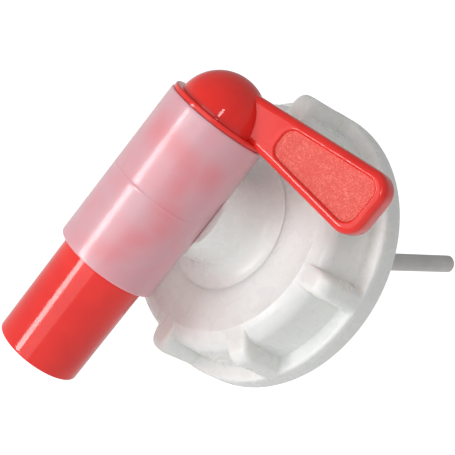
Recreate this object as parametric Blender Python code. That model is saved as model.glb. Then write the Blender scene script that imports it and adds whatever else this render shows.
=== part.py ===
"""Dispensing tap on a lugged screw cap for a 61 mm canister neck.

The cap turns about Y and the tap body swivels in it. The red plug turns in the upright
barrel. The origin is the centre of the cap's sealing plane, +Y points into the canister,
and +Z runs up the barrel, away from the spout.
"""

import math

import bmesh
import bpy
from mathutils import Matrix, Vector

MM = 0.001
GAP = 0.3 * MM

# Screw cap, turned about Y
CAP_SEGMENTS = 72
CAP_FRONT_Y = -4.5 * MM
CAP_REAR_Y = 15.7 * MM
CAP_WALL = 2.5 * MM
FACE_RADIUS = 29.0 * MM
SHOULDER_HEIGHT = 4.3 * MM
SKIRT_FRONT_RADIUS = 33.4 * MM
SKIRT_REAR_RADIUS = 34.3 * MM
RING_RADIUS = 38.5 * MM
RING_HEIGHT = 6.4 * MM
RING_CORE_INNER = 34.4 * MM
RING_CORE_OUTER = 36.7 * MM
RING_CORE_DEPTH = 4.5 * MM
HUB_RADIUS = 14.0 * MM
HUB_REAR_Y = 1.6 * MM
HUB_BORE_RADIUS = 11.6 * MM

# Grip lugs, all round the skirt
LUG_COUNT = 8
LUG_ARC = math.radians(11.25)
LUG_FIRST = math.radians(10)
LUG_FRONT_RADIUS = 37.8 * MM
LUG_REAR_RADIUS = 38.1 * MM
LUG_NOSE = 3.2 * MM
LUG_ROOT_RADIUS = 32.2 * MM

# Cap thread, cut to suit a 61 mm canister neck
THREAD_MAJOR_RADIUS = 30.9 * MM
THREAD_MINOR_RADIUS = 29.5 * MM
THREAD_PITCH = 5.0 * MM
THREAD_TURNS = 1.75
THREAD_FRONT_Y = 3.6 * MM
THREAD_ROOT_WIDTH = 2.6 * MM
THREAD_CREST_WIDTH = 1.0 * MM
THREAD_STEPS_PER_TURN = 48

# Flat gasket ring, seated on the cap's inner face
GASKET_INNER = 25.0 * MM
GASKET_OUTER = 30.4 * MM

# Tap body: an upright barrel on a neck along Y
BODY_SEGMENTS = 48
BARREL_SETBACK = 29.0 * MM
BARREL_RADIUS = 13.45 * MM
BARREL_TOP = 21.1 * MM
BARREL_BOTTOM = -23.1 * MM
BARREL_BORE = 11.6 * MM
SNAP_GROOVE_Z = -19.5 * MM
SNAP_GROOVE_DEPTH = 0.65 * MM
NECK_RADIUS = 12.8 * MM
NECK_BORE = 8.6 * MM
NECK_FLOOR_Z = -5.0 * MM
NECK_FOOT = 5.2 * MM
NECK_FOOT_EDGE = 0.35 * MM
SPIGOT_RADIUS = HUB_BORE_RADIUS - GAP
SPIGOT_END_Y = 5.0 * MM
BEAD_RADIUS = 12.5 * MM
O_RING_SECTION = 0.75 * MM
O_RING_Y = -1.4 * MM
O_RING_FLOOR = 9.8 * MM

# Slots that let the neck's snap end give
SNAP_SLOT_COUNT = 4
SNAP_SLOT_STEP = math.radians(60)
SNAP_SLOT_WIDTH = 1.3 * MM
SNAP_SLOT_DEPTH = 8.0 * MM
SNAP_SLOT_INNER = 7.5 * MM
SNAP_SLOT_OUTER = 14.0 * MM

# Vent: a channel under the neck bore, an angled boss and a long tube
VENT_Z = -7.6 * MM
VENT_CHANNEL_RADIUS = 1.2 * MM
TUBE_RADIUS = 2.5 * MM
TUBE_BORE = 1.5 * MM
TUBE_TILT = math.radians(19.6)
TUBE_ROOT_Y = 7.3 * MM
TUBE_ROOT_Z = -7.3 * MM
TUBE_LENGTH = 79.0 * MM
BOSS_RADIUS = 3.6 * MM
BOSS_START = -5.0 * MM
BOSS_END = 6.5 * MM
TUBE_FIT = 0.25 * MM

# Valve plug, turned about the barrel's axis
PLUG_SEGMENTS = 48
PLUG_RADIUS = BARREL_BORE - GAP
PLUG_BORE = 9.3 * MM
SPOUT_TOP_RADIUS = 11.35 * MM
SPOUT_END_RADIUS = 11.2 * MM
SPOUT_END_Z = -51.8 * MM
COLLAR_RADIUS = 12.6 * MM
COLLAR_TOP = 22.4 * MM
DOME_CENTRE_Z = 21.6 * MM
DOME_RADIUS = 11.24 * MM
DOME_WALL = 2.0 * MM
SNAP_BEAD_HEIGHT = 0.55 * MM
PORT_RADIUS = 6.3 * MM
PORT_Z = 1.9 * MM
DUCT_TOP = -6.0 * MM
DUCT_WALL = 1.0 * MM
DUCT_CHORD = 6.6 * MM

# Lever, in its own frame: x outward, y through its thickness
LEVER_REST = math.radians(20)
LEVER_LENGTH = 45.8 * MM
LEVER_ROOT = 4.0 * MM
LEVER_TOP_AT_ROOT = 31.6 * MM
LEVER_TOP_RISE = 0.142
LEVER_FOOT_AT_ROOT = 22.2 * MM
LEVER_FOOT_FALL = 0.05
LEVER_CORNER = 5.0 * MM
LEVER_ROOT_THICKNESS = 5.4 * MM
LEVER_TIP_THICKNESS = 7.4 * MM
LEVER_EDGE_ROUND = 1.6 * MM
PANEL_START = 16.9 * MM
PANEL_MARGIN = 2.3 * MM
PANEL_CORNER = 3.2 * MM
PANEL_START_CORNER = 3.0 * MM
PANEL_END = LEVER_LENGTH - 2.6 * MM
PANEL_DEPTH = 0.8 * MM


def clear_scene():
    for obj in list(bpy.data.objects):
        bpy.data.objects.remove(obj, do_unlink=True)


def make_material(name, colour, roughness, alpha=1.0):
    mat = bpy.data.materials.new(name)
    mat.use_nodes = True
    shader = mat.node_tree.nodes["Principled BSDF"]
    shader.inputs["Base Color"].default_value = (*colour, 1.0)
    shader.inputs["Roughness"].default_value = roughness
    shader.inputs["Metallic"].default_value = 0.0
    shader.inputs["Alpha"].default_value = alpha
    return mat


def add_object(name, bm, mat=None, location=(0.0, 0.0, 0.0), turn=0.0):
    """Makes an object of the bmesh, at the location, turned about Z."""
    bmesh.ops.remove_doubles(bm, verts=bm.verts, dist=0.005 * MM)
    bmesh.ops.recalc_face_normals(bm, faces=bm.faces)
    mesh = bpy.data.meshes.new(name)
    bm.to_mesh(mesh)
    bm.free()
    mesh.shade_smooth()
    mesh.set_sharp_from_angle(angle=math.radians(32))
    obj = bpy.data.objects.new(name, mesh)
    bpy.context.scene.collection.objects.link(obj)
    obj.location = location
    obj.rotation_euler = (0.0, 0.0, turn)
    if mat:
        mesh.materials.append(mat)
    return obj


def helper(name, bm, location=(0.0, 0.0, 0.0), turn=0.0):
    """Makes a shape that only takes part in Booleans."""
    obj = add_object(name, bm, None, location, turn)
    obj.hide_render = True
    obj.display_type = "WIRE"
    return obj


def combine(target, other, operation):
    mod = target.modifiers.new(other.name, "BOOLEAN")
    mod.operation = operation
    mod.solver = "EXACT"
    mod.object = other


def arc(centre, radii, start, end, steps):
    """Points of an elliptical arc, with the angles in degrees."""
    points = []
    for i in range(steps + 1):
        angle = math.radians(start + (end - start) * i / steps)
        points.append((centre[0] + radii[0] * math.cos(angle), centre[1] + radii[1] * math.sin(angle)))
    return points


def turned(profile, axis, segments, closed=True, start=0.0, sweep=2 * math.pi):
    """Turns a profile of (radius, height) points about Z or Y. Angles about Y run from +X to +Z."""
    bm = bmesh.new()
    if axis == "Z":
        verts = [bm.verts.new((r, 0.0, h)) for r, h in profile]
        direction = Vector((0, 0, 1))
    else:
        verts = [bm.verts.new((r, h, 0.0)) for r, h in profile]
        direction = Vector((0, -1, 0))
    edges = [bm.edges.new(pair) for pair in zip(verts, verts[1:])]
    if closed:
        edges.append(bm.edges.new((verts[-1], verts[0])))
    bmesh.ops.rotate(bm, verts=verts, matrix=Matrix.Rotation(start, 3, direction))
    whole = sweep > 2 * math.pi - 0.001
    swept = verts + edges
    if not whole:
        swept.append(bm.faces.new(verts))
    bmesh.ops.spin(bm, geom=swept, axis=direction, angle=sweep, steps=segments, use_merge=whole)
    if not whole:
        bmesh.ops.recalc_face_normals(bm, faces=bm.faces)
    return bm


def rod(radius, start, end, segments):
    """A solid cylinder between two points."""
    start, end = Vector(start), Vector(end)
    bm = bmesh.new()
    bmesh.ops.create_cone(
        bm, cap_ends=True, segments=segments, radius1=radius, radius2=radius, depth=(end - start).length
    )
    turn = Vector((0, 0, 1)).rotation_difference(end - start).to_matrix()
    bmesh.ops.rotate(bm, verts=bm.verts, matrix=turn)
    bmesh.ops.translate(bm, verts=bm.verts, vec=(start + end) / 2)
    return bm


def keep_side(bm, point, normal):
    """Cuts a solid with a plane and keeps what lies against the normal."""
    geometry = bm.verts[:] + bm.edges[:] + bm.faces[:]
    cut = bmesh.ops.bisect_plane(bm, geom=geometry, plane_co=point, plane_no=normal, clear_outer=True)
    edges = [item for item in cut["geom_cut"] if isinstance(item, bmesh.types.BMEdge)]
    bmesh.ops.edgeloop_fill(bm, edges=edges)
    return bm


def cap_profile():
    """The cap's section between two lugs, from its hole round to its hub."""
    ring_front = CAP_REAR_Y - RING_HEIGHT
    inner_y = CAP_FRONT_Y + CAP_WALL
    shoulder_centre = (FACE_RADIUS, CAP_FRONT_Y + SHOULDER_HEIGHT)
    shoulder_radii = (SKIRT_FRONT_RADIUS - FACE_RADIUS, SHOULDER_HEIGHT)
    soft = 0.7 * MM
    core_y = CAP_REAR_Y - RING_CORE_DEPTH
    mouth = THREAD_MAJOR_RADIUS + 1.6 * MM
    return [
        (HUB_BORE_RADIUS, CAP_FRONT_Y),
        *arc(shoulder_centre, shoulder_radii, -90, 0, 4),
        (SKIRT_REAR_RADIUS, ring_front),
        (RING_RADIUS - 0.2 * MM - soft, ring_front),
        (RING_RADIUS - 0.2 * MM, ring_front + soft),
        (RING_RADIUS, CAP_REAR_Y - soft),
        (RING_RADIUS - soft, CAP_REAR_Y),
        (RING_CORE_OUTER, CAP_REAR_Y),
        (RING_CORE_OUTER, core_y),
        (RING_CORE_INNER, core_y),
        (RING_CORE_INNER, CAP_REAR_Y),
        (mouth, CAP_REAR_Y),
        (THREAD_MAJOR_RADIUS, CAP_REAR_Y - 1.8 * MM),
        (THREAD_MAJOR_RADIUS, inner_y),
        (HUB_RADIUS, inner_y),
        (HUB_RADIUS, HUB_REAR_Y),
        (HUB_BORE_RADIUS + 0.4 * MM, HUB_REAR_Y),
        (HUB_BORE_RADIUS, HUB_REAR_Y - 0.4 * MM),
    ]


def cap_lug(index):
    """One grip lug: a block round the skirt with a rounded nose."""
    front_y = CAP_FRONT_Y + 0.2 * MM
    rear_y = CAP_REAR_Y - RING_HEIGHT + 1.0 * MM
    nose_centre = (LUG_FRONT_RADIUS - LUG_NOSE, front_y + LUG_NOSE)
    profile = [
        (FACE_RADIUS - 0.6 * MM, front_y + 0.9 * MM),
        (FACE_RADIUS + 0.5 * MM, front_y),
        *arc(nose_centre, (LUG_NOSE, LUG_NOSE), -90, 0, 4),
        (LUG_REAR_RADIUS, rear_y),
        (LUG_ROOT_RADIUS, rear_y),
        (LUG_ROOT_RADIUS, front_y + 2.0 * MM),
    ]
    centre = LUG_FIRST + index * 2 * math.pi / LUG_COUNT
    steps = round(LUG_ARC / (2 * math.pi) * CAP_SEGMENTS)
    bm = turned(profile, "Y", steps, start=centre - LUG_ARC / 2, sweep=LUG_ARC)
    return helper(f"lug_shape_{index + 1}", bm)


def cap_thread():
    """The internal right-hand thread, as one ridge wound along the wall from the rear."""
    root = THREAD_MAJOR_RADIUS + 0.5 * MM
    half_root = THREAD_ROOT_WIDTH / 2
    half_crest = THREAD_CREST_WIDTH / 2
    section = [
        (root, -half_root),
        (THREAD_MINOR_RADIUS, -half_crest),
        (THREAD_MINOR_RADIUS, half_crest),
        (root, half_root),
    ]
    bm = bmesh.new()
    advance = THREAD_PITCH * THREAD_TURNS
    verts = [bm.verts.new((r, THREAD_FRONT_Y + advance + y, 0.0)) for r, y in section]
    edges = [bm.edges.new((a, b)) for a, b in zip(verts, verts[1:] + verts[:1])]
    steps = round(THREAD_STEPS_PER_TURN * THREAD_TURNS)
    step = Vector((0, -advance / steps, 0))
    bmesh.ops.spin(
        bm, geom=verts + edges, axis=(0, -1, 0), dvec=step, angle=2 * math.pi * THREAD_TURNS, steps=steps
    )
    bmesh.ops.holes_fill(bm, edges=[e for e in bm.edges if e.is_boundary], sides=0)
    return helper("thread_shape", bm)


def make_screw_cap(mat):
    cap = add_object("screw_cap", turned(cap_profile(), "Y", CAP_SEGMENTS, start=LUG_FIRST), mat)
    for index in range(LUG_COUNT):
        combine(cap, cap_lug(index), "UNION")
    combine(cap, cap_thread(), "UNION")
    return cap


def make_gasket(mat):
    front = CAP_FRONT_Y + CAP_WALL + GAP
    profile = [(GASKET_INNER, front), (GASKET_OUTER, front), (GASKET_OUTER, 0.0), (GASKET_INNER, 0.0)]
    return add_object("cap_gasket", turned(profile, "Y", BODY_SEGMENTS), mat)


def barrel_shape():
    soft = 0.5 * MM
    return [
        (0.0, BARREL_BOTTOM),
        (BARREL_RADIUS - soft, BARREL_BOTTOM),
        (BARREL_RADIUS, BARREL_BOTTOM + soft),
        (BARREL_RADIUS, BARREL_TOP - soft),
        (BARREL_RADIUS - soft, BARREL_TOP),
        (0.0, BARREL_TOP),
    ]


def neck_shape():
    """The neck and its spigot from inside the barrel to the snap end, measured from the barrel's axis."""
    shoulder = BARREL_SETBACK + CAP_FRONT_Y - GAP
    groove = BARREL_SETBACK + O_RING_Y
    half_groove = O_RING_SECTION + 0.2 * MM
    bead = BARREL_SETBACK + HUB_REAR_Y + GAP
    end = BARREL_SETBACK + SPIGOT_END_Y
    foot_centre = (NECK_RADIUS + NECK_FOOT, shoulder - NECK_FOOT_EDGE - NECK_FOOT)
    return [
        (0.0, BARREL_BORE - 3.0 * MM),
        (NECK_RADIUS, BARREL_BORE - 3.0 * MM),
        *arc(foot_centre, (NECK_FOOT, NECK_FOOT), 180, 90, 6),
        (NECK_RADIUS + NECK_FOOT, shoulder),
        (SPIGOT_RADIUS, shoulder),
        (SPIGOT_RADIUS, groove - half_groove),
        (O_RING_FLOOR, groove - half_groove),
        (O_RING_FLOOR, groove + half_groove),
        (SPIGOT_RADIUS, groove + half_groove),
        (SPIGOT_RADIUS, bead),
        (BEAD_RADIUS, bead),
        (BEAD_RADIUS, bead + 0.7 * MM),
        (SPIGOT_RADIUS - 0.5 * MM, end),
        (0.0, end),
    ]


def snap_slots():
    """Slots cut from the end of the neck, across its wall."""
    start = BARREL_SETBACK + HUB_REAR_Y + 0.1 * MM
    size = (SNAP_SLOT_OUTER - SNAP_SLOT_INNER, SNAP_SLOT_DEPTH, SNAP_SLOT_WIDTH)
    middle = ((SNAP_SLOT_OUTER + SNAP_SLOT_INNER) / 2, start + SNAP_SLOT_DEPTH / 2, 0.0)
    slots = []
    for index in range(SNAP_SLOT_COUNT):
        turn = Matrix.Rotation(-index * SNAP_SLOT_STEP, 3, "Y")
        bm = bmesh.new()
        bmesh.ops.create_cube(bm, size=1.0)
        bmesh.ops.scale(bm, verts=bm.verts, vec=size)
        bmesh.ops.translate(bm, verts=bm.verts, vec=middle)
        bmesh.ops.rotate(bm, verts=bm.verts, matrix=turn)
        slots.append(helper(f"snap_slot_shape_{index + 1}", bm, (0.0, -BARREL_SETBACK, 0.0)))
    return slots


def tube_point(distance):
    """A point on the vent tube's axis, at a distance from its root."""
    along = Vector((0.0, math.cos(TUBE_TILT), math.sin(TUBE_TILT)))
    return Vector((0.0, TUBE_ROOT_Y, TUBE_ROOT_Z)) + along * distance


def vent_boss():
    """The angled socket behind the neck, trimmed so that it passes through the hub."""
    boss = rod(BOSS_RADIUS, tube_point(BOSS_START), tube_point(BOSS_END), 20)
    boss = helper("vent_boss_shape", boss)
    trim_start = O_RING_Y + 2.0 * MM
    trim_end = tube_point(BOSS_END).y + 2 * BOSS_RADIUS
    trim = rod(SPIGOT_RADIUS - 0.4 * MM, (0.0, trim_start, 0.0), (0.0, trim_end, 0.0), BODY_SEGMENTS)
    combine(boss, helper("vent_boss_trim", trim), "INTERSECT")
    return boss


def make_tap_body(mat):
    place = (0.0, -BARREL_SETBACK, 0.0)
    body = add_object("tap_body", turned(barrel_shape(), "Z", BODY_SEGMENTS, closed=False), mat, place)
    neck = helper("neck_shape", turned(neck_shape(), "Y", BODY_SEGMENTS, closed=False), place)
    combine(body, neck, "UNION")
    combine(body, vent_boss(), "UNION")

    over = 2.0 * MM
    groove_radius = BARREL_BORE + SNAP_GROOVE_DEPTH
    groove_half = 1.3 * MM
    bore_profile = [
        (0.0, BARREL_BOTTOM - over),
        (BARREL_BORE, BARREL_BOTTOM - over),
        (BARREL_BORE, SNAP_GROOVE_Z - groove_half),
        (groove_radius, SNAP_GROOVE_Z - groove_half + SNAP_GROOVE_DEPTH),
        (groove_radius, SNAP_GROOVE_Z + groove_half - SNAP_GROOVE_DEPTH),
        (BARREL_BORE, SNAP_GROOVE_Z + groove_half),
        (BARREL_BORE, BARREL_TOP + over),
        (0.0, BARREL_TOP + over),
    ]
    bore = helper("barrel_bore_shape", turned(bore_profile, "Z", BODY_SEGMENTS, closed=False), place)
    combine(body, bore, "DIFFERENCE")

    start = -BARREL_SETBACK + BARREL_BORE - 2.0 * MM
    passage = rod(NECK_BORE, (0.0, start, 0.0), (0.0, SPIGOT_END_Y + over, 0.0), 40)
    keep_side(passage, (0.0, 0.0, NECK_FLOOR_Z), (0.0, 0.0, -1.0))
    combine(body, helper("neck_bore_shape", passage), "DIFFERENCE")

    channel = rod(VENT_CHANNEL_RADIUS, (0.0, start, VENT_Z), (0.0, TUBE_ROOT_Y + 0.6 * MM, VENT_Z), 12)
    combine(body, helper("vent_channel_shape", channel), "DIFFERENCE")
    socket = rod(TUBE_RADIUS + TUBE_FIT, tube_point(-0.4 * MM), tube_point(BOSS_END + over), 20)
    combine(body, helper("tube_socket_shape", socket), "DIFFERENCE")
    for slot in snap_slots():
        combine(body, slot, "DIFFERENCE")
    return body


def make_neck_o_ring(mat):
    middle = (HUB_BORE_RADIUS + O_RING_FLOOR) / 2
    profile = arc((middle, O_RING_Y), (O_RING_SECTION, O_RING_SECTION), 0, 315, 7)
    return add_object("neck_o_ring", turned(profile, "Y", BODY_SEGMENTS), mat)


def make_vent_tube(mat):
    profile = [(TUBE_BORE, 0.0), (TUBE_RADIUS, 0.0), (TUBE_RADIUS, TUBE_LENGTH), (TUBE_BORE, TUBE_LENGTH)]
    tube = add_object("vent_tube", turned(profile, "Z", 20), mat, tube_point(0.0))
    tube.rotation_euler = (TUBE_TILT - math.pi / 2, 0.0, 0.0)
    return tube


def plug_profile():
    """The plug's outside, from the spout's mouth up to the top of the dome."""
    soft = 0.3 * MM
    bead_radius = PLUG_RADIUS + SNAP_BEAD_HEIGHT
    bead_half = 0.9 * MM
    crown = math.degrees(math.asin((COLLAR_TOP - DOME_CENTRE_Z) / DOME_RADIUS))
    dome = arc((0.0, DOME_CENTRE_Z), (DOME_RADIUS, DOME_RADIUS), crown, 90, 10)
    dome[-1] = (0.0, DOME_CENTRE_Z + DOME_RADIUS)
    return [
        (0.0, SPOUT_END_Z),
        (SPOUT_END_RADIUS - soft, SPOUT_END_Z),
        (SPOUT_END_RADIUS, SPOUT_END_Z + soft),
        (SPOUT_TOP_RADIUS, BARREL_BOTTOM - GAP),
        (PLUG_RADIUS, BARREL_BOTTOM),
        (PLUG_RADIUS, SNAP_GROOVE_Z - bead_half),
        (bead_radius, SNAP_GROOVE_Z - bead_half + SNAP_BEAD_HEIGHT),
        (bead_radius, SNAP_GROOVE_Z + bead_half - SNAP_BEAD_HEIGHT),
        (PLUG_RADIUS, SNAP_GROOVE_Z + bead_half),
        (PLUG_RADIUS, BARREL_TOP + GAP),
        (COLLAR_RADIUS, BARREL_TOP + GAP),
        (COLLAR_RADIUS, COLLAR_TOP - soft),
        (COLLAR_RADIUS - soft, COLLAR_TOP),
        *dome,
    ]


def lever_top(x):
    return LEVER_TOP_AT_ROOT + LEVER_TOP_RISE * (x - LEVER_ROOT)


def lever_foot(x):
    return LEVER_FOOT_AT_ROOT - LEVER_FOOT_FALL * (x - LEVER_ROOT)


def lever_thickness(x):
    share = (x - LEVER_ROOT) / (LEVER_LENGTH - LEVER_ROOT)
    return LEVER_ROOT_THICKNESS + (LEVER_TIP_THICKNESS - LEVER_ROOT_THICKNESS) * share


def blade_outline(start, end, margin, corner, start_corner=0.0):
    """Points (x, z) round the lever's broad face, inset by a margin, with rounded outer corners."""
    up = math.degrees(math.atan(LEVER_TOP_RISE))
    down = math.degrees(math.atan(LEVER_FOOT_FALL))
    low = (end - corner, lever_foot(end - corner) + margin + corner)
    high = (end - corner, lever_top(end - corner) - margin - corner)
    points = arc(low, (corner, corner), -90 - down, 0, 5)
    points += arc(high, (corner, corner), 0, 90 + up, 5)
    if start_corner:
        rise = (start + start_corner, lever_top(start + start_corner) - margin - start_corner)
        fall = (start + start_corner, lever_foot(start + start_corner) + margin + start_corner)
        points += arc(rise, (start_corner, start_corner), 90 + up, 180, 4)
        points += arc(fall, (start_corner, start_corner), 180, 270 - down, 4)
    else:
        points += [(start, lever_top(start) - margin), (start, lever_foot(start) + margin)]
    return points


def blade(points, side_offset):
    """A slab of the outline whose two broad faces lie at side_offset(x) = (low y, high y)."""
    bm = bmesh.new()
    face = bm.faces.new([bm.verts.new((x, 0.0, z)) for x, z in points])
    moved = bmesh.ops.extrude_face_region(bm, geom=[face])["geom"]
    far = [item for item in moved if isinstance(item, bmesh.types.BMVert)]
    far_set = set(far)
    for vert in bm.verts:
        low, high = side_offset(vert.co.x)
        vert.co.y = high if vert in far_set else low
    bmesh.ops.recalc_face_normals(bm, faces=bm.faces)
    return bm


def lever_shape():
    outline = blade_outline(LEVER_ROOT, LEVER_LENGTH, 0.0, LEVER_CORNER)
    bm = blade(outline, lambda x: (-lever_thickness(x) / 2, lever_thickness(x) / 2))
    rim = [e for e in bm.edges if abs(e.verts[0].co.y - e.verts[1].co.y) < 0.5 * MM]
    rim = [e for e in rim if max(v.co.x for v in e.verts) > LEVER_ROOT + 0.1 * MM]
    bmesh.ops.bevel(
        bm, geom=rim, offset=LEVER_EDGE_ROUND, offset_type="OFFSET", segments=2, profile=0.5,
        affect="EDGES", material=-1,
    )
    return bm


def panel_shape(side):
    """The pocket in one broad face of the lever. The side is -1 or +1."""
    outline = blade_outline(PANEL_START, PANEL_END, PANEL_MARGIN, PANEL_CORNER, PANEL_START_CORNER)

    def offset(x):
        floor = side * (lever_thickness(x) / 2 - PANEL_DEPTH)
        outside = side * (lever_thickness(x) / 2 + 1.0 * MM)
        return min(floor, outside), max(floor, outside)

    return blade(outline, offset)


def make_valve_plug(mat):
    place = (0.0, -BARREL_SETBACK, 0.0)
    turn = LEVER_REST
    outside_shape = turned(plug_profile(), "Z", PLUG_SEGMENTS, closed=False)
    plug = add_object("valve_plug", outside_shape, mat, place, turn)
    combine(plug, helper("lever_shape", lever_shape(), place, turn), "UNION")

    inner_dome = DOME_RADIUS - DOME_WALL
    upper = [(0.0, DUCT_TOP + DUCT_WALL), (PLUG_BORE, DUCT_TOP + DUCT_WALL), (PLUG_BORE, BARREL_TOP)]
    upper += arc((0.0, DOME_CENTRE_Z), (inner_dome, inner_dome), 0, 90, 7)
    upper[-1] = (0.0, DOME_CENTRE_Z + inner_dome)
    upper_cut = helper("plug_upper_bore_shape", turned(upper, "Z", 40, closed=False), place, turn)
    combine(plug, upper_cut, "DIFFERENCE")

    mouth = SPOUT_END_Z - 2.0 * MM
    lower_radius = PLUG_BORE - 0.1 * MM
    flow = rod(lower_radius, (0.0, 0.0, mouth), (0.0, 0.0, DUCT_TOP + DUCT_WALL + 0.2 * MM), 40)
    keep_side(flow, (DUCT_WALL - DUCT_CHORD, 0.0, 0.0), (-1.0, 0.0, 0.0))
    combine(plug, helper("spout_bore_shape", flow, place, turn), "DIFFERENCE")
    duct = rod(lower_radius, (0.0, 0.0, mouth), (0.0, 0.0, DUCT_TOP), 40)
    keep_side(duct, (-DUCT_CHORD, 0.0, 0.0), (1.0, 0.0, 0.0))
    combine(plug, helper("air_duct_shape", duct, place, turn), "DIFFERENCE")

    outside = -PLUG_RADIUS - 2.0 * MM
    port = rod(PORT_RADIUS, (outside, 0.0, PORT_Z), (-4.0 * MM, 0.0, PORT_Z), 32)
    combine(plug, helper("port_shape", port, place, turn), "DIFFERENCE")
    vent = rod(VENT_CHANNEL_RADIUS, (outside, 0.0, VENT_Z), (-DUCT_CHORD - 1.0 * MM, 0.0, VENT_Z), 12)
    combine(plug, helper("plug_vent_shape", vent, place, turn), "DIFFERENCE")
    for name, side in (("front_panel_shape", -1), ("back_panel_shape", 1)):
        combine(plug, helper(name, panel_shape(side), place, turn), "DIFFERENCE")
    return plug


def main():
    clear_scene()
    make_screw_cap(make_material("natural_white_plastic", (0.80, 0.80, 0.76), 0.38))
    make_gasket(make_material("gasket_foam", (0.82, 0.82, 0.80), 0.75))
    make_tap_body(make_material("natural_clear_plastic", (0.82, 0.72, 0.72), 0.32, 0.65))
    make_neck_o_ring(make_material("seal_rubber", (0.62, 0.61, 0.58), 0.55))
    make_vent_tube(make_material("grey_tube_plastic", (0.34, 0.33, 0.32), 0.45))
    make_valve_plug(make_material("red_plastic", (0.76, 0.035, 0.028), 0.30))


main()
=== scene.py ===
import math

import bmesh
import bpy
from mathutils import Matrix, Vector


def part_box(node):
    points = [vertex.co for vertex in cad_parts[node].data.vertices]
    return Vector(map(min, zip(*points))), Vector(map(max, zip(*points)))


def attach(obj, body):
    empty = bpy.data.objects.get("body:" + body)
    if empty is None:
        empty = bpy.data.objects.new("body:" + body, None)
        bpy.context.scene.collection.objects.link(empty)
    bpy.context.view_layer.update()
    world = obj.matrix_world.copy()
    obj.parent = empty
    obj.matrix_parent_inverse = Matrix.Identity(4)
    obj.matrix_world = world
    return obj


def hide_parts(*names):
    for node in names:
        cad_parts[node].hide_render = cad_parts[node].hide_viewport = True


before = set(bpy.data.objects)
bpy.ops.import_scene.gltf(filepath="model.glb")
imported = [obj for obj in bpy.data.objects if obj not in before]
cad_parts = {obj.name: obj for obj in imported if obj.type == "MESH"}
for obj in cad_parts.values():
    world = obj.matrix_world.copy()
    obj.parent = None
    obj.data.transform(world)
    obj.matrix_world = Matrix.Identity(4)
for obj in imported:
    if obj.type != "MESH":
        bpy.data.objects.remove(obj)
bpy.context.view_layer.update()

mm = 0.001
gap = 0.3 * mm  # clearance that the solids keep to each other

# places taken from the frame
capLow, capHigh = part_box("screw_cap")
bodyLow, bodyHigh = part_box("tap_body")
plugLow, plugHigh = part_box("valve_plug")
gasketLow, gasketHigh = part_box("cap_gasket")
barrelRadius = 13.45 * mm
barrelAxis = Vector((0.0, bodyLow.y + barrelRadius, 0.0))


def arcPoints(centre, radii, start, end, steps):
    # points on an elliptical arc, angles in degrees
    points = []
    for i in range(steps + 1):
        angle = math.radians(start + (end - start) * i / steps)
        points.append((centre[0] + radii[0] * math.cos(angle), centre[1] + radii[1] * math.sin(angle)))
    return points


def linePoints(start, end, steps):
    # points on a straight line, without its first one
    points = []
    for i in range(1, steps + 1):
        share = i / steps
        points.append((start[0] + (end[0] - start[0]) * share, start[1] + (end[1] - start[1]) * share))
    return points


def fillRows(profile, spacing):
    # the same profile with more points along its long stretches
    rows = [profile[0]]
    for start, end in zip(profile, profile[1:]):
        steps = max(1, round(math.dist(start, end) / spacing))
        rows += linePoints(start, end, steps)
    return rows


def spunShape(profile, axis, columns, closed=True, centre=(0.0, 0.0, 0.0)):
    # turns (radius, height) points about Z, or about Y from +X towards +Z
    bm = bmesh.new()
    rowLayer = bm.verts.layers.int.new("row")
    centre = Vector(centre)
    verts = []
    for index, (radius, height) in enumerate(profile):
        place = (radius, 0.0, height) if axis == "Z" else (radius, height, 0.0)
        vert = bm.verts.new(centre + Vector(place))
        vert[rowLayer] = index
        verts.append(vert)
    edges = [bm.edges.new(pair) for pair in zip(verts, verts[1:])]
    if closed:
        edges.append(bm.edges.new((verts[-1], verts[0])))
    direction = (0, 0, 1) if axis == "Z" else (0, -1, 0)
    bmesh.ops.spin(
        bm, geom=verts + edges, cent=centre, axis=direction, angle=2 * math.pi, steps=columns, use_merge=True
    )
    return bm


def closeUp(bm):
    # merges seams and poles, then turns every face outwards
    bmesh.ops.remove_doubles(bm, verts=bm.verts, dist=0.002 * mm)
    bmesh.ops.recalc_face_normals(bm, faces=bm.faces)
    return bm


def roundRod(radius, start, end, columns):
    start, end = Vector(start), Vector(end)
    bm = bmesh.new()
    bmesh.ops.create_cone(
        bm, cap_ends=True, segments=columns, radius1=radius, radius2=radius, depth=(end - start).length
    )
    turn = Vector((0, 0, 1)).rotation_difference(end - start).to_matrix()
    bmesh.ops.rotate(bm, verts=bm.verts, matrix=turn)
    bmesh.ops.translate(bm, verts=bm.verts, vec=(start + end) / 2)
    return bm


def sliceOff(bm, point, normal):
    # takes away what lies past a plane and closes the cut
    cut = bmesh.ops.bisect_plane(
        bm, geom=bm.verts[:] + bm.edges[:] + bm.faces[:], plane_co=point, plane_no=normal, clear_outer=True
    )
    rim = [item for item in cut["geom_cut"] if isinstance(item, bmesh.types.BMEdge)]
    bmesh.ops.edgeloop_fill(bm, edges=rim)
    return bm


def makeObject(name, bm, *materials):
    mesh = bpy.data.meshes.new(name)
    closeUp(bm).to_mesh(mesh)
    bm.free()
    for material in materials:
        mesh.materials.append(material)
    obj = bpy.data.objects.new(name, mesh)
    bpy.context.scene.collection.objects.link(obj)
    return obj


def combineShapes(piece, steps):
    # joins or cuts the piece with each (operation, bmesh), one after the other
    tools = []
    for operation, bm in steps:
        tool = makeObject("tool", bm)
        mod = piece.modifiers.new("combine", "BOOLEAN")
        mod.operation = operation
        mod.solver = "EXACT"
        mod.object = tool
        tools.append(tool)
    bpy.context.view_layer.update()
    result = bpy.data.meshes.new_from_object(piece.evaluated_get(bpy.context.evaluated_depsgraph_get()))
    piece.modifiers.clear()
    piece.data = result
    for tool in tools:
        bpy.data.objects.remove(tool, do_unlink=True)
    return piece


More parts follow.
